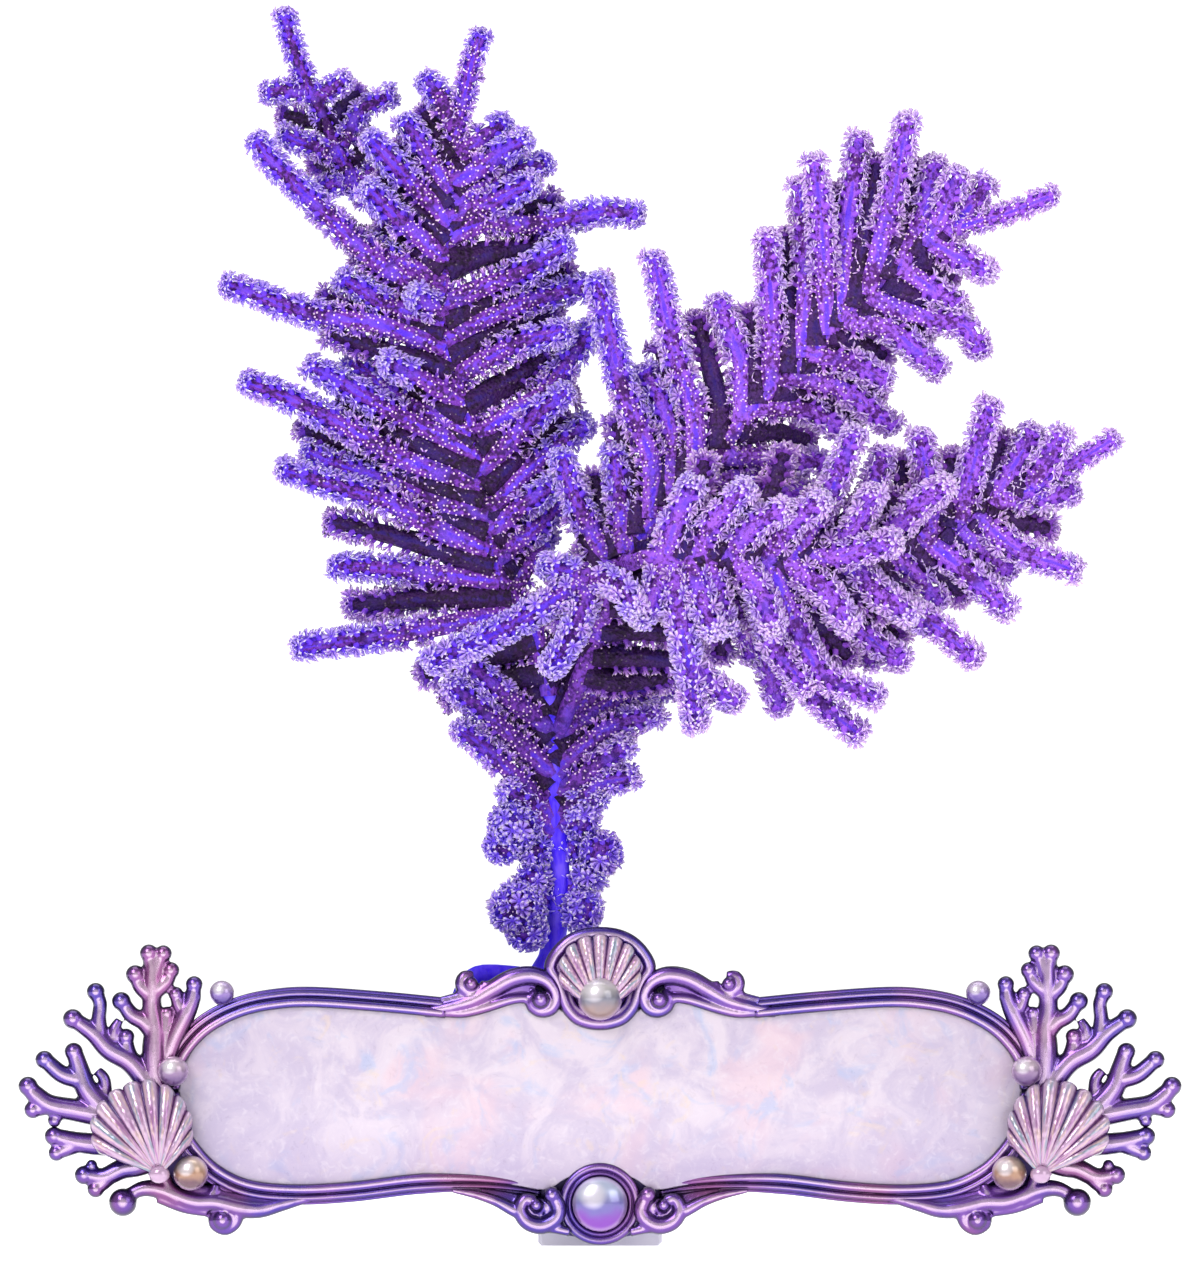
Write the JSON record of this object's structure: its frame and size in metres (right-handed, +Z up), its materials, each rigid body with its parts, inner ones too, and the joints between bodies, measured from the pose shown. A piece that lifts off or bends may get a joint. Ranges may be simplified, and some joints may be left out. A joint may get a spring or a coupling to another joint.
{
  "type": "sea fan on name plate stand",
  "caption": "Purple gorgonian sea fan with feathery polyp-covered plumes, standing on a plinth behind an ornate framed mother-of-pearl name plate with shells, pearls and cast coral.",
  "frame": {"origin": "centre of the plinth's flat underside, on the ground", "axes": "+Z up, -Y towards the front of the name plate, +X to the right seen from the front"},
  "size_m": [0.2896, 0.0799, 0.3094],
  "materials": {
    "coral_tissue": "preserved coral tissue: bare blue-violet stems, lavender polyps with pale tips",
    "resin": "cast resin, satin-gloss violet with rose and silver sheen",
    "dark_resin": "cast resin, satin dark violet",
    "pale_resin": "cast resin, satin pearly white",
    "mother_of_pearl": "mottled mother-of-pearl panel, smooth",
    "pearl": "lustrous pearl",
    "shell": "nacre, satin, iridescent"
  },
  "bodies": {
    "root": {"trunk": "coral_tissue", "left_plume": "coral_tissue", "back_sprig": "coral_tissue", "upper_plume": "coral_tissue", "lower_plume": "coral_tissue", "front_spray": "coral_tissue", "back_plate": "dark_resin", "plinth": "pale_resin", "pearl_panel": "mother_of_pearl", "rail_top_left": "resin", "rail_top_right": "resin", "rail_bottom_left": "resin", "rail_bottom_right": "resin", "scroll_top_left": "resin", "scroll_top_right": "resin", "scroll_bottom_left": "resin", "scroll_bottom_right": "resin", "coral_upper_left": "resin", "coral_upper_right": "resin", "coral_outer_left": "resin", "coral_outer_right": "resin", "coral_lower_left": "resin", "coral_lower_right": "resin", "scroll_tail_left": "resin", "scroll_tail_right": "resin", "bead_left": "resin", "bead_right": "resin", "crest": "resin", "boss_ring": "resin", "pearl_mid_left": "pearl", "pearl_mid_right": "pearl", "pearl_lower_left": "pearl", "pearl_lower_right": "pearl", "crest_pearl": "pearl", "boss_pearl": "pearl", "shell_left": "shell", "shell_right": "shell", "crest_shell": "shell"}
  },
  "joints": []
}
